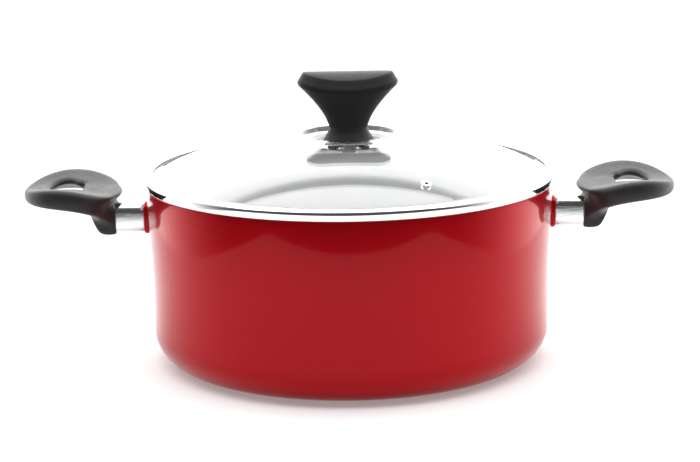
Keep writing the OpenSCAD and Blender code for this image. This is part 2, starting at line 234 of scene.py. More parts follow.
gloss = add_node(
    clouds, "ShaderNodeMapRange",
    {"Value": haze.outputs[0], "From Min": 0.3, "From Max": 0.7,
     "To Min": start.outputs["Gloss low"], "To Max": start.outputs["Gloss high"]},
)
clouds.links.new(mix.outputs[2], end.inputs["Color"])
clouds.links.new(gloss.outputs[0], end.inputs["Gloss"])

# A fine grain that stands up from the surface, over broader waves: orange peel in paint,
# the spark-eroded skin of a mould, or the slow waves in pressed glass.
grain, start, end = new_group(
    "Grain and waves",
    {"Grain scale": 2000.0, "Wave scale": 200.0, "Wave share": 0.5},
    {"Height": "NodeSocketFloat", "Grain": "NodeSocketFloat"},
)
place = add_node(grain, "ShaderNodeTexCoord")
fine = add_node(
    grain, "ShaderNodeTexNoise",
    {"Vector": place.outputs["Object"], "Scale": start.outputs["Grain scale"], "Detail": 2.0},
)
wave = add_node(
    grain, "ShaderNodeTexNoise",
    {"Vector": place.outputs["Object"], "Scale": start.outputs["Wave scale"], "Detail": 1.0},
)
height = add_node(
    grain, "ShaderNodeMix",
    {0: start.outputs["Wave share"], 2: fine.outputs[0], 3: wave.outputs[0]},
)
grain.links.new(height.outputs[0], end.inputs["Height"])
grain.links.new(fine.outputs[0], end.inputs["Grain"])

# Fine lines that a lathe tool or a polishing wheel leaves round the Z axis.
rings, start, end = new_group(
    "Turned lines",
    {"Lines": 4000.0, "Color A": (0.6, 0.6, 0.6, 1.0), "Color B": (0.8, 0.8, 0.8, 1.0),
     "Gloss low": 0.1, "Gloss high": 0.2},
    {"Height": "NodeSocketFloat", "Color": "NodeSocketColor", "Gloss": "NodeSocketFloat"},
)
place = add_node(rings, "ShaderNodeTexCoord")
split = add_node(rings, "ShaderNodeSeparateXYZ", {0: place.outputs["Object"]})
flat = add_node(
    rings, "ShaderNodeCombineXYZ", {0: split.outputs[0], 1: split.outputs[1], 2: 0.0}
)
radius = add_node(rings, "ShaderNodeVectorMath", {0: flat.outputs[0]}, operation="LENGTH")
across = add_node(
    rings, "ShaderNodeMath", {0: radius.outputs["Value"], 1: split.outputs[2]}, operation="ADD"
)
count = add_node(
    rings, "ShaderNodeMath", {0: across.outputs[0], 1: start.outputs["Lines"]}, operation="MULTIPLY"
)
line = add_node(
    rings, "ShaderNodeTexNoise", {"W": count.outputs[0], "Scale": 1.0, "Detail": 4.0},
    noise_dimensions="1D",
)
slow_count = add_node(
    rings, "ShaderNodeMath", {0: count.outputs[0], 1: 0.06}, operation="MULTIPLY"
)
slow_line = add_node(
    rings, "ShaderNodeTexNoise", {"W": slow_count.outputs[0], "Scale": 1.0, "Detail": 2.0},
    noise_dimensions="1D",
)
mix = add_node(
    rings, "ShaderNodeMix",
    {0: slow_line.outputs[0], 6: start.outputs["Color A"], 7: start.outputs["Color B"]},
    data_type="RGBA",
)
gloss = add_node(
    rings, "ShaderNodeMapRange",
    {"Value": line.outputs[0], "From Min": 0.3, "From Max": 0.7,
     "To Min": start.outputs["Gloss low"], "To Max": start.outputs["Gloss high"]},
)
rings.links.new(line.outputs[0], end.inputs["Height"])
rings.links.new(mix.outputs[2], end.inputs["Color"])
rings.links.new(gloss.outputs[0], end.inputs["Gloss"])

enamel = new_material(
    "red enamel", Metallic=0.36, Specular_IOR_Level=0.0, Coat_Weight=1.0, Coat_Roughness=0.07,
    Coat_IOR=1.2,
)
join_shader(
    enamel,
    put_group(
        enamel, clouds, Scale=9.0, Color_A=(0.37, 0.003, 0.006, 1), Color_B=(0.39, 0.004, 0.008, 1),
        Gloss_low=0.28, Gloss_high=0.3,
    ),
    Base_Color="Color", Roughness="Gloss",
)
join_bump(
    enamel, put_group(enamel, grain, Grain_scale=2600.0, Wave_scale=420.0, Wave_share=0.4),
    "Height", 0.1, 0.0001,
)

lining = new_material("non-stick lining", Coat_Weight=0.5, Coat_Roughness=0.12)
join_shader(
    lining,
    put_group(
        lining, clouds, Scale=14.0, Color_A=(0.74, 0.74, 0.75, 1), Color_B=(0.78, 0.78, 0.78, 1),
        Gloss_low=0.28, Gloss_high=0.38,
    ),
    Base_Color="Color", Roughness="Gloss",
)
join_bump(
    lining, put_group(lining, grain, Grain_scale=3200.0, Wave_scale=500.0, Wave_share=0.4),
    "Height", 0.25, 0.0002,
)

bare_base = new_material("turned aluminium", Metallic=1.0)
turned_lines = put_group(
    bare_base, rings, Lines=1600.0, Color_A=(0.62, 0.62, 0.63, 1), Color_B=(0.74, 0.74, 0.75, 1),
    Gloss_low=0.22, Gloss_high=0.38,
)
join_shader(bare_base, turned_lines, Base_Color="Color", Roughness="Gloss")
join_bump(bare_base, turned_lines, "Height", 0.5, 0.0002)

# Outline: the base with its shallow hollow and turned steps, the corner, the wall and the lip.
hollow_r = 72
hollow = 0.6
step_r = [20, 40, 56]
step_w = 0.8
inner_r = corner_r - wall_t
base_outline = [(0, hollow)]
for r in step_r:
    base_outline += [(r, hollow), (r + step_w / 2, hollow + step_w / 2), (r + step_w, hollow)]
base_outline += [(hollow_r, hollow), (hollow_r + hollow * 2, 0)]
outside = arc((wall_ro - corner_r, corner_r), corner_r, -90, 0, 28)
outside += upright_ease((wall_ro, flare_bottom), (lip_ro, flare_top), 24)
outside += arc((lip_ro - lip_round, pot_h - lip_round), lip_round, 0, 90, 8)
inside = arc((mouth_r + lip_round, pot_h - lip_round), lip_round, 90, 180, 8)
inside += upright_ease((mouth_r, flare_top), (wall_ri, flare_bottom), 24)
inside += arc((wall_ri - inner_r, base_t + inner_r), inner_r, 0, -90, 24)
inside += [(inner_flat_r, base_t), (0, base_t)]
pot_outline = base_outline + outside + inside
pot_skins = (
    [2] * (len(base_outline) - 1) + [0] * (len(outside) + 2) + [1] * (len(inside) + 2)
)
pot = turned("pot_shell", pot_outline, 192, [enamel, lining, bare_base], pot_skins)
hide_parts("pot_body")
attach(pot, "pot")


# ---- Handle pads and pillars ----
# Each handle stands on a pad welded to the wall and painted with the pot. A tapped pillar in
# its middle runs out through the flame guard to take the handle's screw.
stud_z = 89.2
pad_x = 124.6
pad_w = 24.6
pad_h = 19.8
pad_round = 6
pad_edge = 0.9
pad_root_x = 120.05
guard_l = 17.2
guard_x = pad_x + guard_l
socket = 1.5
pillar_r = 5.6
screw_r = 2.5
screw_depth = 16


def rounded_ring(width, height, radius, x, steps=10):
    """Points round a rounded rectangle that stands across the X axis, about the handle's axis."""
    ring = []
    for turn, (sy, sz) in enumerate([(1, 1), (-1, 1), (-1, -1), (1, -1)]):
        centre = (sy * (width / 2 - radius), sz * (height / 2 - radius))
        ring += [
            (x, y, z + stud_z) for y, z in arc(centre, radius, 90 * turn, 90 * turn + 90, steps)
        ]
    return ring


def lofted(name, rings_of_points, materials, wrap=False, side=1):
    """A skin over rings of points. It closes on itself with wrap, and is capped without."""
    count = len(rings_of_points[0])
    points = [(side * p[0], p[1], p[2]) for ring in rings_of_points for p in ring]
    faces = []
    spans = len(rings_of_points) if wrap else len(rings_of_points) - 1
    for k in range(spans):
        a, b = k * count, (k + 1) % len(rings_of_points) * count
        for i in range(count):
            j = (i + 1) % count
            faces.append([a + i, a + j, b + j, b + i])
    if not wrap:
        faces.append(list(range(count)))
        faces.append(list(range((len(rings_of_points) - 1) * count, len(points))))
    return add_piece(name, points, faces, materials)


def circle_ring(radius, x, count):
    angles = [2 * pi * i / count for i in range(count)]
    return [(x, radius * cos(a), stud_z + radius * sin(a)) for a in angles]


for side, word in ((1, "right"), (-1, "left")):
    sections = [(0, pad_root_x)] + [
        (-pad_edge * (1 - cos(radians(t))), pad_x - pad_edge * (1 - sin(radians(t))))
        for t in range(0, 91, 15)
    ]
    pad = lofted(
        word + "_pad",
        [rounded_ring(pad_w + 2 * grow, pad_h + 2 * grow, pad_round + grow, x) for grow, x in sections],
        [enamel], side=side,
    )
    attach(pad, "pot")
    pillar_end = guard_x + socket
    bore_end = pillar_end - screw_depth
    tap_r = screw_r + 0.05
    pillar_outline = [
        (0, bore_end), (tap_r, bore_end), (tap_r, pillar_end - 0.5), (tap_r + 0.5, pillar_end),
        (pillar_r - 0.5, pillar_end), (pillar_r, pillar_end - 0.5), (pillar_r, wall_ro), (0, wall_ro),
    ]
    about_x = Matrix.Translation((0, 0, stud_z)) @ Matrix.Rotation(side * pi / 2, 4, "Y")
    pillar = turned(word + "_pillar", pillar_outline, 48, [enamel], place=about_x)
    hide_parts(word + "_bracket")
    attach(pillar, "pot")


# ---- Flame guards ----
# A short sleeve of thin stainless steel between pad and handle, drawn and polished, keeps the
# flame off the plastic. The screw clamps it: its outer end sits in a socket in the handle.
guard_w = 23
guard_h = 18.2
guard_round = 5.4
guard_t = 0.8
guard_edge = 0.25

# Fine straight lines along the X axis, as a belt or a drawing die leaves them.
brushed, start, end = new_group(
    "Brushed lines",
    {"Lines": 6000.0, "Stretch": 0.02, "Color A": (0.6, 0.6, 0.6, 1.0), "Color B": (0.8, 0.8, 0.8, 1.0),
     "Gloss low": 0.2, "Gloss high": 0.35},
    {"Height": "NodeSocketFloat", "Color": "NodeSocketColor", "Gloss": "NodeSocketFloat"},
)
place = add_node(brushed, "ShaderNodeTexCoord")
stretch = add_node(brushed, "ShaderNodeCombineXYZ", {0: start.outputs["Stretch"], 1: 1.0, 2: 1.0})
along = add_node(
    brushed, "ShaderNodeVectorMath", {0: place.outputs["Object"], 1: stretch.outputs[0]},
    operation="MULTIPLY",
)
line = add_node(
    brushed, "ShaderNodeTexNoise",
    {"Vector": along.outputs[0], "Scale": start.outputs["Lines"], "Detail": 3.0},
)
mix = add_node(
    brushed, "ShaderNodeMix",
    {0: line.outputs[0], 6: start.outputs["Color A"], 7: start.outputs["Color B"]},
    data_type="RGBA",
)
gloss = add_node(
    brushed, "ShaderNodeMapRange",
    {"Value": line.outputs[0], "From Min": 0.3, "From Max": 0.7,
     "To Min": start.outputs["Gloss low"], "To Max": start.outputs["Gloss high"]},
)
brushed.links.new(line.outputs[0], end.inputs["Height"])
brushed.links.new(mix.outputs[2], end.inputs["Color"])
brushed.links.new(gloss.outputs[0], end.inputs["Gloss"])

guard_steel = new_material("drawn stainless steel", Metallic=1.0)
drawn_lines = put_group(
    guard_steel, brushed, Lines=3500.0, Stretch=0.03, Color_A=(0.7, 0.7, 0.7, 1),
    Color_B=(0.86, 0.86, 0.86, 1), Gloss_low=0.1, Gloss_high=0.2,
)
join_shader(guard_steel, drawn_lines, Base_Color="Color", Roughness="Gloss")
join_bump(guard_steel, drawn_lines, "Height", 0.2, 0.0001)

for side, word in ((1, "right"), (-1, "left")):
    g = guard_edge
    outer_x = guard_x + socket
    sections = [
        (g, pad_x), (g * 0.3, pad_x + g * 0.3), (0, pad_x + g), (0, (pad_x + outer_x) / 2),
        (0, outer_x - g), (g, outer_x), (guard_t, outer_x), (guard_t, pad_x),
    ]
    guard = lofted(
        word + "_flame_guard",
        [
            rounded_ring(guard_w - 2 * inset, guard_h - 2 * inset, guard_round - inset, x, 12)
            for inset, x in sections
        ],
        [guard_steel], wrap=True, side=side,
    )
    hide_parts(word + "_guard")
    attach(guard, "pot")


# ---- Side handles ----
# Each is one moulding of dark grey phenolic resin, a loop with a finger hole and a hub that
# swallows the guard's end. A deep bore under the loop lets the screw and its washers in.
reach = 55.4
wing_w = 77
hole_w = 35
hole_l = 21
hub_lap = 0.8
hub_hw = guard_w / 2 + hub_lap
hub_hh = guard_h / 2 + hub_lap
loop_z = stud_z - 1.8
hub_foot = stud_z - loop_z - hub_hh - 0.2
hub_end_z = stud_z + hub_hh + 0.6
hole_u = 0.552 * reach
hole_in = hole_u - hole_l / 2
outline_u = 0.38 * reach
outline_a = reach - outline_u + 0.9
outline_b = wing_w / 2 + 1
socket_gap = 0.1
end_cut_l = 20
end_cut_w = 44
bore_floor = 6
bore_l = 20
screw_gap = 0.3
head_r = screw_r + 2
bore_r = head_r + 0.6
handle_steps = 7


def rail(a, b, crest, low, rim_top, rim_low):
    """A section of the loop, from the finger hole at angle b to the outline at angle a."""
    o = (outline_u + outline_a * cos(radians(a)), outline_b * sin(radians(a)))
    i = (hole_u + (hole_l / 2 - 0.4) * cos(radians(b)), (hole_w / 2 - 0.5) * sin(radians(b)))
    shape = [
        (0.08, rim_top + 0.4), (0.36, lerp(rim_top, crest, 0.4)), (0.7, crest), (0.92, crest + 0.1),
        (1.01, lerp(crest, low, 0.2)), (1.03, lerp(crest, low, 0.48)), (1.01, lerp(crest, low, 0.74)),
        (0.95, low), (0.79, low - 0.3), (0.6, lerp(low, rim_low, 0.25)),
        (0.35, lerp(low, rim_low, 0.7)), (0.1, rim_low), (-0.05, rim_low + 0.8), (-0.05, rim_top - 1),
    ]
    return [(lerp(i[0], o[0], s), lerp(i[1], o[1], s), z) for s, z in shape]


def hub(v, hole_v, foot, beak):
    """A section of the hub at the distance v from its middle, with its underside at foot."""
    return [
        (hole_in - 1, hole_v, 20.4), (hole_in * 0.5, (hole_v + v) / 2, 18.8), (0.6, v, 18.2),
        (-4.2 + beak, v, 17.4), (-3 + beak, v, 14.8), (2.2, v, 11.6), (-2.5, v, 5.5), (-4, v, foot),
        (hole_in * 0.38, v, foot), (hole_in * 0.53, v, foot + 1.6), (hole_in * 0.71, v, 1.4),
        (hole_in * 0.83, v * 0.9, 12), (hole_in - 0.4, hole_v, 17), (hole_in, hole_v, 19.2),
    ]


half_net = [
    rail(0, 0, 19.6, 13.2, 20.2, 15.6),
    rail(24, 34, 20.8, 13.2, 20.8, 16.2),
    rail(46, 62, 23.4, 13.2, 21.8, 17.6),
    rail(68, 88, 25, 13.2, 22.2, 18),
    rail(90, 112, 24.4, 12.2, 22, 17.6),
    rail(110, 134, 21.6, 9, 21.4, 17),
    [
        (hole_in, hub_hw, 21), (hole_in * 0.6, hub_hw + 4.7, 19.4), (5, wing_w * 0.338, 19.6),
        (2.2, wing_w * 0.377, 18.8), (2.8, wing_w * 0.364, 15.8), (4.4, wing_w * 0.32, 12),
        (5.4, wing_w * 0.26, 7), (6, hub_hw + 4.1, 2.2), (hole_in * 0.45, hub_hw + 2.7, 1.4),
        (hole_in * 0.57, hub_hw + 2.7, 2.4), (hole_in * 0.71, hub_hw + 3.1, 4.6),
        (hole_in * 0.87, hub_hw + 2.2, 12), (hole_in + 0.8, hub_hw - 0.9, 17),
        (hole_in + 1, hub_hw - 0.7, 19.6),
    ],
    [
        (hole_in - 0.6, 8.6, 20.6), (hole_in * 0.55, hub_hw + 0.7, 18.8), (2.6, hub_hw + 4.7, 18.6),
        (-0.8, hub_hw + 4.7, 17.6), (0, hub_hw + 4.3, 14.8), (3.6, hub_hw + 2.7, 11.2),
        (-1.5, hub_hw + 0.3, 5), (-4, hub_hw + 0.3, -4.2), (hole_in * 0.38, hub_hw + 0.4, -2),
        (hole_in * 0.55, hub_hw + 0.4, -0.6), (hole_in * 0.71, hub_hw + 0.5, 2.2),
        (hole_in * 0.85, hub_hw - 0.9, 12), (hole_in, 8.6, 17), (hole_in + 0.4, 8.4, 19.2),
    ],
    hub(hub_hw + 0.1, 6.4, hub_foot, 2),
    hub(hub_hw * 0.6, 4, hub_foot, 0.5),
    hub(0, 0, hub_foot, 0),
]
net = half_net + [[(p[0], -p[1], p[2]) for p in row] for row in half_net[-2:0:-1]]


def smooth_loop(values, steps):
    """A smooth closed curve drawn through the neighbourhood of the points in values."""
    loop = []
    for i in range(len(values)):
        near = [Vector(values[(i + k) % len(values)]) for k in (-1, 0, 1, 2)]
        for s in range(steps):
            t = s / steps
            shares = [
                (1 - t) ** 3, 3 * t**3 - 6 * t * t + 4, 3 * t * t - 3 * t**3 + 3 * t + 1, t**3
            ]
            loop.append(sum((p * k for p, k in zip(near, shares)), Vector()) / 6)
    return loop


def crosswise(rows):
    return [list(column) for column in zip(*rows)]


def apply_modifiers(piece, sharp):
    bpy.context.view_layer.update()
    seen = piece.evaluated_get(bpy.context.evaluated_depsgraph_get())
    mesh = bpy.data.meshes.new_from_object(seen)
    piece.modifiers.clear()
    piece.data = mesh
    mesh.shade_smooth()
    mesh.set_sharp_from_angle(angle=radians(sharp))


def carve(piece, cutters, sharp=40):
    """Takes the cutters away from a piece, and removes them."""
    for cutter in cutters:
        cut = piece.modifiers.new("cut", "BOOLEAN")
        cut.object = cutter
        cut.solver = "EXACT"
    apply_modifiers(piece, sharp)
    for cutter in cutters:
        bpy.data.objects.remove(cutter)


phenolic = new_material("phenolic resin", Specular_IOR_Level=0.2)
mottle = put_group(
    phenolic, clouds, Scale=120.0, Color_A=(0.026, 0.025, 0.026, 1), Color_B=(0.034, 0.032, 0.033, 1),
    Gloss_low=0.4, Gloss_high=0.48,
)
join_shader(phenolic, mottle, Base_Color="Color", Roughness="Gloss")
join_bump(
    phenolic, put_group(phenolic, grain, Grain_scale=4200.0, Wave_scale=900.0, Wave_share=0.35),
    "Height", 0.35, 0.00012,
)

skin = crosswise([smooth_loop(row, handle_steps) for row in net])
skin = crosswise([smooth_loop(column, handle_steps) for column in skin])
for side, word in ((1, "right"), (-1, "left")):
    shifted = [[(p[0] + guard_x, p[1], p[2] + loop_z) for p in row] for row in skin]
    handle = lofted(word + "_loop_handle", shifted, [phenolic], wrap=True, side=side)
    end_cut = lofted(
        "cutter",
        [
            [(x, -y, 0), (x, y, 0), (x, y, hub_end_z), (x, -y, hub_end_z)]
            for x, y in ((guard_x - end_cut_l, end_cut_w / 2), (guard_x, end_cut_w / 2))
        ],
        [phenolic], side=side,
    )
    socket_cut = lofted(
        "cutter",
        [
            rounded_ring(guard_w + 2 * socket_gap, guard_h + 2 * socket_gap, guard_round + socket_gap, x)
            for x in (guard_x - 1, guard_x + socket)
        ],
        [phenolic], side=side,
    )
    screw_cut = lofted(
        "cutter", [circle_ring(screw_r + screw_gap, x, 32) for x in (guard_x, guard_x + bore_floor + 1)],
        [phenolic], side=side,
    )
    bore_cut = lofted(
        "cutter", [circle_ring(bore_r, x, 48) for x in (guard_x + bore_floor, guard_x + bore_l)],
        [phenolic], side=side,
    )
    carve(handle, [end_cut, socket_cut, screw_cut, bore_cut])
    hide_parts(word + "_handle")
    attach(handle, "pot")


# ---- Handle screws and washers ----
# A pan-head cross screw of zinc-plated steel, with a split spring washer and a plain one.
washer_t = 1
spring_t = 1.2
head_t = 2.8
slot_w = 1
slot_depth = 1.4
slot_reach = 0.62
slot_taper = 0.62
split_gap = radians(12)
split_rise = 0.15

plated = new_material("zinc plated steel", Metallic=1.0)
join_shader(
    plated,
    put_group(
        plated, clouds, Scale=260.0, Color_A=(0.5, 0.51, 0.53, 1), Color_B=(0.62, 0.62, 0.6, 1),
        Gloss_low=0.25, Gloss_high=0.42,
    ),
    Base_Color="Color", Roughness="Gloss",
)
join_bump(
    plated, put_group(plated, grain, Grain_scale=5200.0, Wave_scale=1500.0, Wave_share=0.3),
    "Height", 0.2, 0.0001,
)


def screw_outline(start_z, under_z, top_z, shank_r, pan_r):
    """A pointed, threaded shank from start_z up to the pan head between under_z and top_z."""
    pitch, thread, crown = 0.8, 0.28, 1.1
    outline = [(0, start_z), (shank_r - 1, start_z), (shank_r - thread, start_z + 1)]
    z = start_z + 1
    while z < under_z - 2 * pitch:
        outline += [(shank_r, z + pitch * 0.5), (shank_r - thread, z + pitch)]
        z += pitch
    outline += [(shank_r, z + pitch * 0.5), (shank_r, under_z)]
    outline += [(pan_r - 0.2, under_z), (pan_r, under_z + 0.3)]
    outline += [
        (pan_r - crown + crown * cos(radians(t)), top_z - crown + 0.9 * sin(radians(t)))
        for t in range(0, 91, 15)
    ]
    outline += [(pan_r * 0.4, top_z), (0, top_z)]
    return outline


def cross_cutters(place, top_z, size, material):
    """Two crossed slots with tapered ends."""
    found = []
    for turn in (0, pi / 2):
        spin = place @ Matrix.Rotation(turn, 4, "Z")
        found.append(
            lofted(
                "cutter",
                [
                    [
                        spin @ Vector((sx * size * grow, sy * slot_w / 2 * grow, z))
                        for sx, sy in ((1, 1), (-1, 1), (-1, -1), (1, -1))
                    ]
                    for z, grow in ((top_z - slot_depth, slot_taper), (top_z + 0.2, 1))
                ],
                [material],
            )
        )
    return found


for side, word in ((1, "right"), (-1, "left")):
    about_x = Matrix.Translation((0, 0, stud_z)) @ Matrix.Rotation(side * pi / 2, 4, "Y")
    face = guard_x + bore_floor
    plain_r = head_r + 0.3
    hole_r = screw_r + 0.2
    washer = turned(
        word + "_plain_washer",
        [
            (hole_r, face + 0.15), (hole_r + 0.15, face), (plain_r - 0.2, face), (plain_r, face + 0.2),
            (plain_r, face + washer_t - 0.2), (plain_r - 0.2, face + washer_t),
            (hole_r + 0.15, face + washer_t), (hole_r, face + washer_t - 0.15),
        ],
        64, [plated], place=about_x, closed=True, sharp=60,
    )
    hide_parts(word + "_washer")
    spring_from = face + washer_t
    turns = 60
    spring_points = []
    for i in range(turns + 1):
        a = split_gap + (2 * pi - 2 * split_gap) * i / turns
        rise = (i / turns - 0.5) * split_rise
        for r, z in ((hole_r, 0.1), (head_r, 0.1), (head_r, spring_t - 0.1), (hole_r, spring_t - 0.1)):
            spring_points.append(
                (about_x @ Vector((r * cos(a), r * sin(a), spring_from + z + rise)))[:]
            )
    spring = lofted(
        word + "_split_washer",
        [spring_points[i * 4 : i * 4 + 4] for i in range(turns + 1)], [plated],
    )
    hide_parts(word + "_spring_washer")
    head_from = spring_from + spring_t
    screw_from = guard_x + socket - screw_depth + 2
    screw = turned(
        word + "_pan_screw",
        screw_outline(screw_from, head_from, head_from + head_t, screw_r, head_r),
        64, [plated], place=about_x, sharp=35,
    )
    carve(screw, cross_cutters(about_x, head_from + head_t, head_r * slot_reach, plated), 35)
    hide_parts(word + "_screw")
    for piece in (washer, spring, screw):
        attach(piece, "pot")


# ---- Glass lid ----
# A disc of toughened glass pressed into a dome, with a raised ring and a dish for the knob.
# Its edge is ground round, and two holes go through: one for the knob's screw, one for steam.
glass_t = 4
dome_rise = 23
ring_r = 29.5
dish_depth = 4.8
dish_run = 7
dish_r = ring_r - dish_run
band_t = 0.7
cushion_t = 0.5
band_over = 1.8
band_ro = lip_ro + band_over
band_w = 5.5
band_top = pot_h + 2 * band_t + 2 * cushion_t + glass_t
edge_gap = 1.3
edge_r = band_ro - band_t - edge_gap
edge_top = band_top - band_t - cushion_t
edge_round = 1.2
foot_in = 2.5
foot_r = band_ro - band_w - foot_in
foot_round = 14
glass_hole_r = 5.5
vent_r = 1.2
vent_at = 97
vent_angle = radians(-63)
vent_hole_r = vent_r + 1
vent_cut_h = 20

dome_side = (foot_r**2 - ring_r**2 - dome_rise**2) / (2 * dome_rise)
dome_r = sqrt(foot_r**2 + dome_side**2)
dome_z = edge_top - dome_side
ring_z = edge_top + dome_rise
dish_z = ring_z - dish_depth
blend = foot_round + dome_r
blend_r = sqrt(blend**2 - (edge_top + foot_round - dome_z) ** 2)
blend_c = (blend_r, edge_top + foot_round)
degrees = 180 / pi
blend_to = atan2(dome_z - blend_c[1], -blend_r) * degrees + 360
dome_from = atan2(blend_c[1] - dome_z, blend_r) * degrees
dome_to = acos(ring_r / dome_r) * degrees


def glass_face(t):
    """The glass's upper face, or the face t below it, from its foot in to the dish."""
    face = arc(blend_c, foot_round + t, 270, blend_to, 16)
    face += arc((0, dome_z), dome_r - t, dome_from, dome_to, 56)[1:]
    face += level_ease((ring_r - 0.4, ring_z - t), (dish_r, dish_z - t), 28)
    return face


glass = new_material(
    "toughened glass", Transmission_Weight=1.0, IOR=1.5, Base_Color=(0.99, 0.996, 0.994, 1.0)
)
join_shader(
    glass,
    put_group(glass, clouds, Scale=22.0, Gloss_low=0.0, Gloss_high=0.012),
    Roughness="Gloss",
)
join_bump(
    glass, put_group(glass, grain, Grain_scale=60.0, Wave_scale=18.0, Wave_share=0.85),
    "Height", 0.03, 0.0004,
)
edge_low = edge_top - glass_t
lid_outline = (
    [(glass_hole_r, dish_z - glass_t)]
    + glass_face(glass_t)[::-1]
    + arc((edge_r - edge_round, edge_low + edge_round), edge_round, -90, 0, 8)
    + arc((edge_r - edge_round, edge_top - edge_round), edge_round, 0, 90, 8)
    + glass_face(0)
    + [(glass_hole_r, dish_z)]
)
dome = turned("glass_dome", lid_outline, 256, [glass], closed=True, sharp=50)
vent_place = (
    Matrix.Rotation(vent_angle, 4, "Z")
    @ Matrix.Translation((0, 0, dome_z))
    @ Matrix.Rotation(asin(vent_at / dome_r), 4, "Y")
    @ Matrix.Translation((0, 0, dome_r))
)
vent_cut = turned(
    "cutter",
    [(0, -vent_cut_h), (vent_hole_r, -vent_cut_h), (vent_hole_r, vent_cut_h), (0, vent_cut_h)],
    48, [glass], place=vent_place,
)
carve(dome, [vent_cut], 50)
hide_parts("lid_glass")
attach(dome, "lid")


# ---- Steel band ----
# A strip of stainless steel rolled round the glass's edge on a white silicone strip. It laps
# the top of the glass, rests on the pot's lip, and its skirt drops into the mouth.
band_round = 2.6
skirt_h = 4.5
skirt_gap = 1.2
skirt_ro = mouth_r - skirt_gap
skirt_ri = skirt_ro - band_t

band_steel = new_material("rolled stainless steel", Metallic=1.0)
polish_lines = put_group(
    band_steel, rings, Lines=5200.0, Color_A=(0.76, 0.76, 0.76, 1), Color_B=(0.86, 0.86, 0.85, 1),
    Gloss_low=0.05, Gloss_high=0.1,
)
join_shader(band_steel, polish_lines, Base_Color="Color", Roughness="Gloss")
join_bump(band_steel, polish_lines, "Height", 0.08, 0.00005)

inner_round = band_round - band_t
lap_r = band_ro - band_w
curl = 1
lean = 0.6
band_outline = [(lap_r, band_top - band_t / 2), (lap_r + 0.1, band_top - 0.1)]
band_outline += [(lap_r + 0.35, band_top)]
band_outline += arc((band_ro - band_round, band_top - band_round), band_round, 90, 0, 16)
band_outline += arc((band_ro - lean - curl, pot_h + curl), curl, 0, -90, 8)
band_outline += arc((skirt_ro + 0.5, pot_h - 0.5), 0.5, 90, 180, 4)
band_outline += [(skirt_ro, pot_h - skirt_h + 0.2), (skirt_ro - 0.2, pot_h - skirt_h)]
band_outline += [(skirt_ri + 0.1, pot_h - skirt_h), (skirt_ri, pot_h - skirt_h + 0.1)]
band_outline += [(skirt_ri, pot_h + band_t - 0.4), (skirt_ri + 0.4, pot_h + band_t)]
band_outline += arc((band_ro - lean - curl, pot_h + curl), curl - band_t, -90, 0, 4)
band_outline += arc((band_ro - band_round, band_top - band_round), inner_round, 0, 90, 12)
band_outline += [(lap_r + 0.3, band_top - band_t)]
band = turned("steel_band", band_outline, 256, [band_steel], closed=True, sharp=50)
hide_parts("lid_band")
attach(band, "lid")

silicone = new_material("white silicone", Subsurface_Weight=0.15, Subsurface_Scale=0.002)
join_shader(
    silicone,
    put_group(
        silicone, clouds, Scale=90.0, Color_A=(0.74, 0.74, 0.72, 1), Color_B=(0.8, 0.8, 0.78, 1),
        Gloss_low=0.48, Gloss_high=0.62,
    ),
    Base_Color="Color", Roughness="Gloss",
)
join_bump(
    silicone, put_group(silicone, grain, Grain_scale=3000.0, Wave_scale=700.0, Wave_share=0.5),
    "Height", 0.2, 0.0001,
)

# The strip is a channel: over the glass's edge, round it and back under it.
fit = 0.05
lip_in = band_ro - band_w + 0.5
strip_round = 0.4
strip_outline = [(lip_in, edge_top + fit), (lip_in - 0.1, band_top - band_t - 0.2)]
strip_outline += [(lip_in + 0.2, band_top - band_t - fit)]
strip_outline += arc((band_ro - band_round, band_top - band_round), inner_round - fit, 90, 0, 10)
strip_corner = (band_ro - lean - band_t - fit - strip_round, pot_h + band_t + fit + strip_round)
strip_outline += arc(strip_corner, strip_round, 0, -90, 4)
strip_outline += [(skirt_ri + 0.6, pot_h + band_t + fit), (skirt_ri + 0.4, edge_low - 0.2)]
strip_outline += [(skirt_ri + 0.6, edge_low - fit)]
strip_outline += [(edge_r - edge_round, edge_low - fit)]
strip_outline += arc((edge_r - edge_round, edge_low + edge_round), edge_round + fit, -90, 0, 6)
strip_outline += arc((edge_r - edge_round, edge_top - edge_round), edge_round + fit, 0, 90, 6)
strip = turned("edge_strip", strip_outline, 192, [silicone], closed=True, sharp=50)
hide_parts("band_cushion")
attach(strip, "lid")


# ---- Steam vent ----
# A stainless eyelet pressed through the second hole in the glass and rolled over below it.
tube_r = vent_r + 0.8
flange_r = tube_r + 1.1
roll = 1.1
below = glass_t + roll
flange_edge = 0.4
eyelet_outline = [(vent_r, -below), (flange_r - 0.9, -below), (flange_r - 0.7, -below + 0.1)]
eyelet_outline += [(flange_r - 0.3, -glass_t - 0.4), (flange_r - 0.5, -glass_t - 0.25)]
eyelet_outline += [(tube_r, -glass_t - 0.2), (tube_r, 0.2)]
eyelet_outline += arc((flange_r - flange_edge, 0.6), flange_edge, -90, 90, 10)
eyelet_outline += arc((tube_r, 0.2), 0.8, 90, 180, 8)
eyelet = turned("vent_rivet", eyelet_outline, 64, [band_steel], place=vent_place, closed=True)
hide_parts("vent_eyelet")
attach(eyelet, "lid")


# ---- Knob ----
# A tall knob of phenolic resin: a shallow crowned top over a neck that flares like a trumpet.
# It stands on a separate moulded collar, and a brass insert in its foot takes the screw.
knob_h = 34.1
knob_l = 61.2
knob_w = 30
neck_l = 23.4
neck_w = 16
collar_h = 7.9
collar_l = 31.2
collar_w = 24
seal_t = 0.5
collar_z = dish_z + seal_t
neck_z = collar_z + collar_h
head_h = 6.5
head_z = neck_z + knob_h - head_h
crown_drop = 3.6
edge_drop = crown_drop * 1.1
crown_l = knob_l - 6.8
crown_w = knob_w - 6
insert_r = 4.6
insert_h = 17


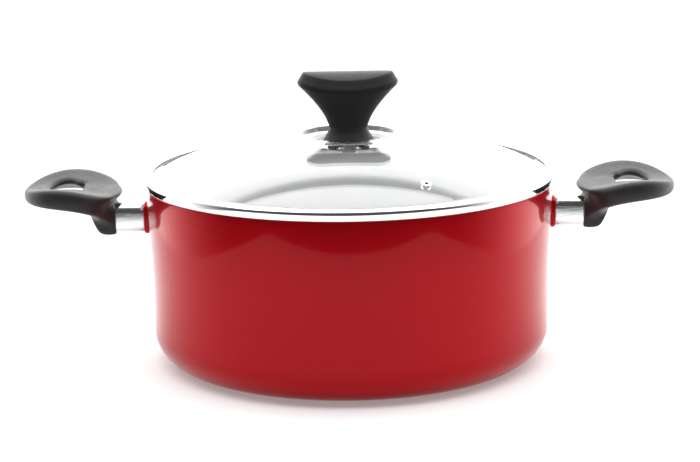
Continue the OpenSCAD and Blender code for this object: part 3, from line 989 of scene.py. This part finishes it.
def oval_ring(half_l, half_w, z, drop, count=64):
    """An oval ring whose front and back hang down by drop."""
    angles = [2 * pi * i / count for i in range(count)]
    return [(half_l * cos(a), half_w * sin(a), z - drop * sin(a) ** 2) for a in angles]


def soften(piece):
    """Rounds a skin with one level of a subdivision surface."""
    rounder = piece.modifiers.new("soften", "SUBSURF")
    rounder.levels = rounder.render_levels = 1
    apply_modifiers(piece, 40)


hl = [neck_l / 2, knob_l / 2, crown_l / 2]
hw = [neck_w / 2, knob_w / 2, crown_w / 2]
bore_top = neck_z + insert_h - collar_h + 0.2
knob_rings = [(insert_r * 0.5, insert_r * 0.5, bore_top, 0), (insert_r, insert_r, bore_top, 0)]
knob_rings += [(insert_r, insert_r, bore_top - 0.3, 0), (insert_r, insert_r, neck_z + 0.3, 0)]
knob_rings += [(insert_r + 0.3, insert_r + 0.3, neck_z, 0), (hl[0] - 0.6, hw[0] - 0.6, neck_z, 0)]
knob_rings += [(hl[0] - 0.1, hw[0] - 0.1, neck_z + 0.15, 0)]
for i in range(1, 20):
    t = i / 20
    s = t**1.5 * 1.06
    if s < 1:
        z = lerp(neck_z, head_z, t)
        knob_rings.append((lerp(hl[0], hl[1], s), lerp(hw[0], hw[1], s), z, edge_drop * t * t))
knob_rings += [
    (hl[1] - 0.5, hw[1] - 0.5, head_z - 0.9, edge_drop),
    (hl[1] + 0.05, hw[1] + 0.05, head_z + 0.2, edge_drop),
    (hl[1] - 0.3, hw[1] - 0.3, head_z + 1.2, edge_drop),
    (lerp(hl[1], hl[2], 0.5), lerp(hw[1], hw[2], 0.5), head_z + head_h * 0.5, crown_drop * 1.05),
    (hl[2] + 0.4, hw[2] + 0.5, head_z + head_h - 1, crown_drop),
    (hl[2] - 0.1, hw[2] + 0.1, head_z + head_h - 0.35, crown_drop * 0.98),
    (hl[2] - 0.8, hw[2] - 0.5, head_z + head_h - 0.1, crown_drop * 0.95),
]
knob_rings += [
    (hl[2] * f, hw[2] * f, head_z + head_h, crown_drop * f * f) for f in (0.88, 0.7, 0.5, 0.3, 0.1)
]
knob = lofted("grip_knob", [oval_ring(*ring) for ring in knob_rings], [phenolic])
soften(knob)
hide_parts("knob")
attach(knob, "lid")

collar_rings = [(insert_r, insert_r, neck_z - 0.2, 0), (insert_r, insert_r, collar_z + 0.2, 0)]
collar_rings += [(insert_r + 0.2, insert_r + 0.2, collar_z, 0)]
collar_rings += [(collar_l / 2 - 0.7, collar_w / 2 - 0.7, collar_z, 0)]
collar_rings += [(collar_l / 2 - 0.1, collar_w / 2 - 0.1, collar_z + 0.2, 0)]
for i in range(1, 12):
    t = i / 12
    s = (1 - t) ** 1.3
    collar_rings.append(
        (lerp(neck_l, collar_l, s) / 2, lerp(neck_w, collar_w, s) / 2, lerp(collar_z, neck_z, t), 0)
    )
collar_rings += [(neck_l / 2 - 0.05, neck_w / 2 - 0.05, neck_z - 0.15, 0)]
collar_rings += [(neck_l / 2 - 0.5, neck_w / 2 - 0.5, neck_z, 0)]
collar_rings += [(insert_r + 0.2, insert_r + 0.2, neck_z, 0)]
collar = lofted("foot_collar", [oval_ring(*ring) for ring in collar_rings], [phenolic], wrap=True)
soften(collar)
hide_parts("knob_collar")
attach(collar, "lid")


# ---- Knob's insert, seals, washer and screw ----
# A silicone pad and a flanged sleeve keep metal and plastic off the glass. Below them a broad
# washer spreads the load of a pan-head screw that runs up into the brass insert.
seal_r = 9
washer_r = 7.5
sleeve_r = glass_hole_r - 0.2
sleeve_bore = screw_r + screw_gap
flange_z = dish_z - glass_t - 1

brass = new_material("turned brass", Metallic=1.0)
brass_lines = put_group(
    brass, rings, Lines=3000.0, Color_A=(0.56, 0.4, 0.16, 1), Color_B=(0.66, 0.48, 0.2, 1),
    Gloss_low=0.22, Gloss_high=0.34,
)
join_shader(brass, brass_lines, Base_Color="Color", Roughness="Gloss")
join_bump(brass, brass_lines, "Height", 0.3, 0.0001)

tap_end = collar_z + insert_h - 2.5
grooves = 4
groove_pitch = 1.8
insert_outline = [(0, tap_end), (screw_r + fit, tap_end)]
insert_outline += [(screw_r + fit, collar_z + 0.4), (screw_r + 0.5, collar_z)]
insert_outline += [(insert_r - 0.3, collar_z), (insert_r, collar_z + 0.3)]
for groove in range(grooves):
    z = collar_z + collar_h + 1.5 + groove_pitch * groove
    insert_outline += [(insert_r, z), (insert_r - 0.4, z + 0.3)]
    insert_outline += [(insert_r - 0.4, z + 0.7), (insert_r, z + 1)]
insert_outline += [(insert_r, collar_z + insert_h - 0.3), (insert_r - 0.3, collar_z + insert_h)]
insert_outline += [(0, collar_z + insert_h)]
insert = turned("brass_bush", insert_outline, 64, [brass])
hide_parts("knob_insert")

pad_outline = [(sleeve_bore, dish_z), (seal_r - 0.15, dish_z), (seal_r, dish_z + 0.15)]
pad_outline += [(seal_r, collar_z - 0.15), (seal_r - 0.15, collar_z), (sleeve_bore, collar_z)]
upper_pad = turned("knob_pad", pad_outline, 96, [silicone], closed=True)
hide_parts("upper_seal")

sleeve_outline = [(sleeve_bore, flange_z), (seal_r - 0.3, flange_z), (seal_r, flange_z + 0.3)]
sleeve_outline += [(seal_r, flange_z + 0.7), (seal_r - 0.3, flange_z + 1)]
sleeve_outline += [(sleeve_r + 0.3, flange_z + 1)]
sleeve_outline += [(sleeve_r, flange_z + 1.2), (sleeve_r, flange_z + glass_t + 0.6)]
sleeve_outline += [(sleeve_r - 0.2, flange_z + glass_t + 0.8), (sleeve_bore, flange_z + glass_t + 0.8)]
sleeve = turned("flanged_sleeve", sleeve_outline, 96, [silicone], closed=True)
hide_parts("lower_seal")

washer_z = flange_z - washer_t
broad_outline = [(screw_r + 0.2, washer_z), (washer_r - 0.3, washer_z), (washer_r, washer_z + 0.3)]
broad_outline += [(washer_r, flange_z - 0.15), (washer_r - 0.15, flange_z), (screw_r + 0.2, flange_z)]
broad_washer = turned("broad_washer", broad_outline, 96, [plated], closed=True, sharp=60)
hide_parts("knob_washer")

upside_down = Matrix.Rotation(pi, 4, "X")
screw_in = 12
screw_top = collar_z + screw_in
lid_screw = turned(
    "lid_pan_screw", screw_outline(-screw_top, -washer_z, -washer_z + head_t, screw_r, head_r),
    64, [plated], place=upside_down, sharp=35,
)
carve(lid_screw, cross_cutters(upside_down, -washer_z + head_t, head_r * slot_reach, plated), 35)
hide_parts("knob_screw")
for piece in (insert, upper_pad, sleeve, broad_washer, lid_screw):
    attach(piece, "lid")


# ---- Floor and light ----
# A white table in a studio with white walls behind and beside it, a broad soft box overhead
# and a dark space in front, which draws the dark streaks along the steel.
table_side = 360
table_front = 420
table_back = 330
table_corner = 50
table_top = -0.05
floor_paint = new_material(
    "white table", Specular_IOR_Level=0.2, Emission_Color=(1, 1, 1, 1), Emission_Strength=0.25
)
join_shader(
    floor_paint,
    put_group(
        floor_paint, clouds, Scale=1.5, Color_A=(0.75, 0.75, 0.75, 1), Color_B=(0.77, 0.77, 0.77, 1),
        Gloss_low=0.6, Gloss_high=0.7,
    ),
    Base_Color="Color", Roughness="Gloss",
)
table_edge = []
corners = [(1, table_back), (-1, table_back), (-1, -table_front), (1, -table_front)]
for turn, (sx, y) in enumerate(corners):
    middle = (sx * (table_side - table_corner), y - table_corner * (1 if y > 0 else -1))
    bend = arc(middle, table_corner, 90 * turn, 90 * turn + 90, 24)
    table_edge += [(px, py, table_top) for px, py in bend]
floor = add_piece("floor", table_edge, [list(range(len(table_edge)))], [floor_paint])

world = bpy.data.worlds.new("studio")
bpy.context.scene.world = world
world.use_nodes = True
sky = world.node_tree
wall_light = 3
dark_light = 0.08
ceiling_light = 0.22
backdrop_light = 1.2
right_share = 0.1
dark_from, wall_from = -0.5, 0.75
ceiling_from, ceiling_full = 0.66, 0.72
look = add_node(sky, "ShaderNodeTexCoord")
parts = add_node(sky, "ShaderNodeSeparateXYZ", {0: look.outputs["Generated"]})
to_right = add_node(
    sky, "ShaderNodeMath", {0: parts.outputs[0], 1: right_share, 2: parts.outputs[1]},
    operation="MULTIPLY_ADD",
)
around = add_node(
    sky, "ShaderNodeMapRange",
    {"Value": to_right.outputs[0], "From Min": dark_from, "From Max": wall_from,
     "To Min": dark_light, "To Max": wall_light},
    interpolation_type="SMOOTHSTEP",
)
ceiling = add_node(
    sky, "ShaderNodeMapRange",
    {"Value": parts.outputs[2], "From Min": ceiling_from, "From Max": ceiling_full,
     "To Min": 0.0, "To Max": 1.0},
    interpolation_type="SMOOTHSTEP",
)
shade = add_node(
    sky, "ShaderNodeMix", {0: ceiling.outputs[0], 2: around.outputs[0], 3: ceiling_light}
)
seen_directly = add_node(sky, "ShaderNodeLightPath")
backdrop = add_node(
    sky, "ShaderNodeMix",
    {0: seen_directly.outputs["Is Camera Ray"], 2: shade.outputs[0], 3: backdrop_light},
)
background = sky.nodes["Background"]
background.inputs["Color"].default_value = (1, 1, 1, 1)
sky.links.new(backdrop.outputs[0], background.inputs["Strength"])

# The soft box hangs level over the pot, a little behind it, and shows in reflections only.
box_y = 0.2
box_z = 1.35
box_w = 2.6
box_d = 1.6
box_watts = 42
soft_box = bpy.data.lights.new("overhead box", "AREA")
soft_box.shape = "RECTANGLE"
soft_box.size, soft_box.size_y = box_w, box_d
soft_box.energy = box_watts
box_holder = bpy.data.objects.new("overhead box", soft_box)
box_holder.matrix_world = Matrix.Translation((0, box_y, box_z))
box_holder.visible_camera = False
bpy.context.scene.collection.objects.link(box_holder)
bpy.context.scene.view_settings.view_transform = "Standard"
